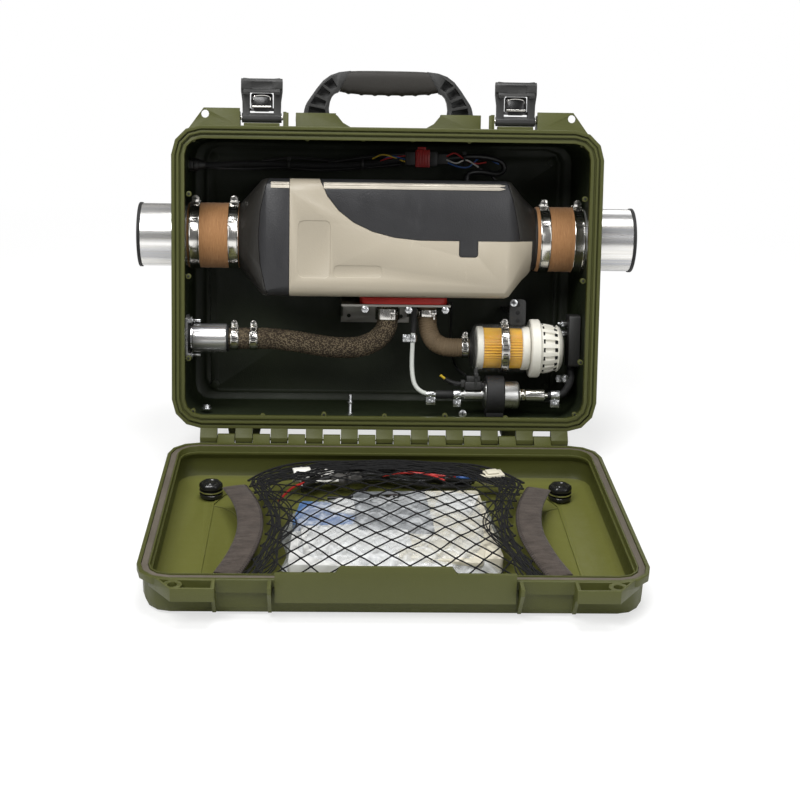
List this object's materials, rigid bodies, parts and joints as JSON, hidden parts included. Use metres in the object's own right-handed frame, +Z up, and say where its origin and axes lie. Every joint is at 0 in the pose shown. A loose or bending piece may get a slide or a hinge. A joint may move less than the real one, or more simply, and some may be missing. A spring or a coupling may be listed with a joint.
{
  "type": "diesel air heater in a carrying case",
  "caption": "Portable diesel air heater mounted in an open moulded carrying case, with ducts, exhaust, intake filter, fuel pump, a hinged lid with a storage net, latches and a folding handle.",
  "frame": {"origin": "middle of the outer face of the lid, which lies flat on the floor", "axes": "+X to the right of someone facing the open case, +Y from the lid towards the base standing behind it, +Z up"},
  "size_m": [0.6008, 0.6064, 0.4577],
  "materials": {
    "olive": "moulded olive green, fine texture",
    "black_plastic": "moulded black",
    "dark_plastic": "dark grey satin",
    "cream_plastic": "cream satin",
    "black_rubber": "black, matt",
    "gasket": "grey-brown seal",
    "red_rubber": "red silicone",
    "tan_sleeve": "tan woven sleeve",
    "steel": "bright stainless",
    "aluminium": "cast",
    "zinc_plate": "zinc plated",
    "braid": "brown braid with gold flecks",
    "brown_hose": "brown, matt",
    "clear_plastic": "clear",
    "filter_paper": "yellow filter medium",
    "off_white": "off-white",
    "circuit_board": "green lacquered board",
    "suede": "grey-brown suede",
    "net_cord": "black elastic cord"
  },
  "bodies": {
    "base": {"base_shell": "olive", "hinge_pin": "steel", "inlet_hood": "black_plastic", "inlet_casing": "dark_plastic", "lower_casing": "cream_plastic", "upper_casing": "dark_plastic", "outlet_hood": "black_plastic", "heat_exchanger": "aluminium", "burner_tube": "steel", "glow_plug": "steel", "fan_motor": "zinc_plate", "control_board": "circuit_board", "base_gasket": "red_rubber", "mount_bracket": "zinc_plate", "wall_duct_left": "steel", "wall_duct_right": "steel", "duct_trim_left": "black_rubber", "duct_trim_right": "black_rubber", "duct_sleeve_left": "tan_sleeve", "duct_sleeve_right": "tan_sleeve", "duct_clamp_left_outer": "steel", "duct_clamp_left_inner": "steel", "duct_clamp_right_inner": "steel", "duct_clamp_right_outer": "steel", "exhaust_outlet": "steel", "exhaust_hose": "braid", "exhaust_clamp_outer": "steel", "exhaust_clamp_inner": "steel", "intake_hose": "brown_hose", "intake_clamp": "steel", "filter_canister": "clear_plastic", "filter_element": "filter_paper", "filter_cap": "off_white", "filter_bracket": "black_plastic", "fuel_line": "off_white", "pump_body": "aluminium", "pump_mount": "black_rubber", "fuel_inlet_hose": "black_rubber", "service_block": "black_plastic", "power_cable": "black_rubber", "inline_connector": "red_rubber", "heater_cable": "black_rubber"},
    "lid": {"lid_shell": "olive", "lid_gasket": "gasket", "net_post_left": "black_plastic", "net_post_right": "black_plastic", "storage_net": "net_cord", "net_band_left": "suede", "net_band_right": "suede", "accessory_bag": "clear_plastic", "accessory_harness": "black_rubber"},
    "handle": {"handle_frame": "black_plastic", "handle_grip": "black_rubber"},
    "latch_left": {"latch_arm_left": "black_plastic"},
    "latch_right": {"latch_arm_right": "black_plastic"},
    "lever_left": {"latch_lever_left": "steel"},
    "lever_right": {"latch_lever_right": "steel"},
    "fan_rotor": {"air_impeller": "black_plastic", "combustion_wheel": "aluminium"}
  },
  "joints": [
    {"name": "lid_hinge", "type": "hinge", "parent": "base", "child": "lid", "pos_m": [0, 0.1877, 0.043], "axis": [-1, 0, 0], "range_deg": [0, 102]},
    {"name": "handle_hinge", "type": "hinge", "parent": "base", "child": "handle", "pos_m": [0, 0.29557, 0.4014], "axis": [-1, 0, 0], "range_deg": [0, 90]},
    {"name": "latch_left_hinge", "type": "hinge", "parent": "base", "child": "latch_left", "pos_m": [-0.1465, 0.27552, 0.40567], "axis": [1, 0, 0], "range_deg": [0, 90]},
    {"name": "latch_right_hinge", "type": "hinge", "parent": "base", "child": "latch_right", "pos_m": [0.1465, 0.27552, 0.40567], "axis": [1, 0, 0], "range_deg": [0, 90]},
    {"name": "lever_left_hinge", "type": "hinge", "parent": "latch_left", "child": "lever_left", "pos_m": [-0.1465, 0.2775, 0.41496], "axis": [-1, 0, 0], "range_deg": [0, 35]},
    {"name": "lever_right_hinge", "type": "hinge", "parent": "latch_right", "child": "lever_right", "pos_m": [0.1465, 0.2775, 0.41496], "axis": [-1, 0, 0], "range_deg": [0, 35]},
    {"name": "fan_spin", "type": "hinge", "parent": "base", "child": "fan_rotor", "pos_m": [0, 0.31492, 0.25672], "axis": [1, 0, 0], "continuous": true}
  ]
}
